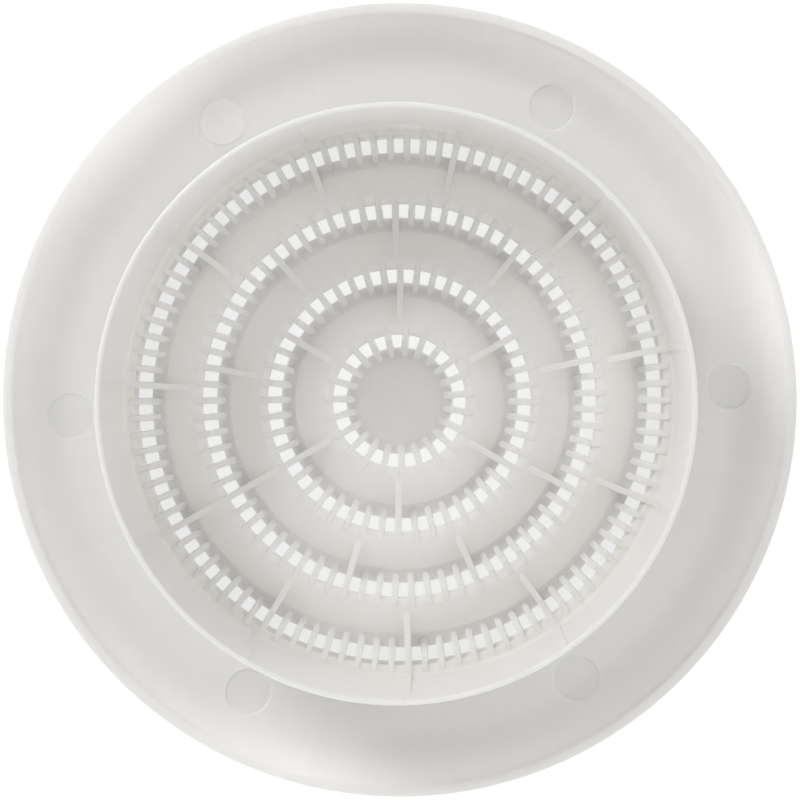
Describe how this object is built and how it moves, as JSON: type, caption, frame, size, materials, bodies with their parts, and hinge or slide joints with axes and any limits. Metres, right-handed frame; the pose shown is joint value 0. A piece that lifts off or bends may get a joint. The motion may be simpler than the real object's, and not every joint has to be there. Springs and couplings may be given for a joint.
{
  "type": "ceiling vent cover",
  "caption": "Round moulded ceiling vent cover with a dished flange, stepped ring louvres joined by short radial bars, and a spigot that plugs into a duct.",
  "frame": {"origin": "on the cover's axis, at the ceiling plane that the rim of the flange touches", "axes": "+Z along the axis, up into the duct, so the room side faces -Z; +X runs toward the right of the picture and +Y toward its top"},
  "size_m": [0.21, 0.21, 0.0478],
  "materials": {
    "white_plastic": "satin, as moulded"
  },
  "bodies": {
    "root": {"vent_cover": "white_plastic"}
  },
  "joints": []
}
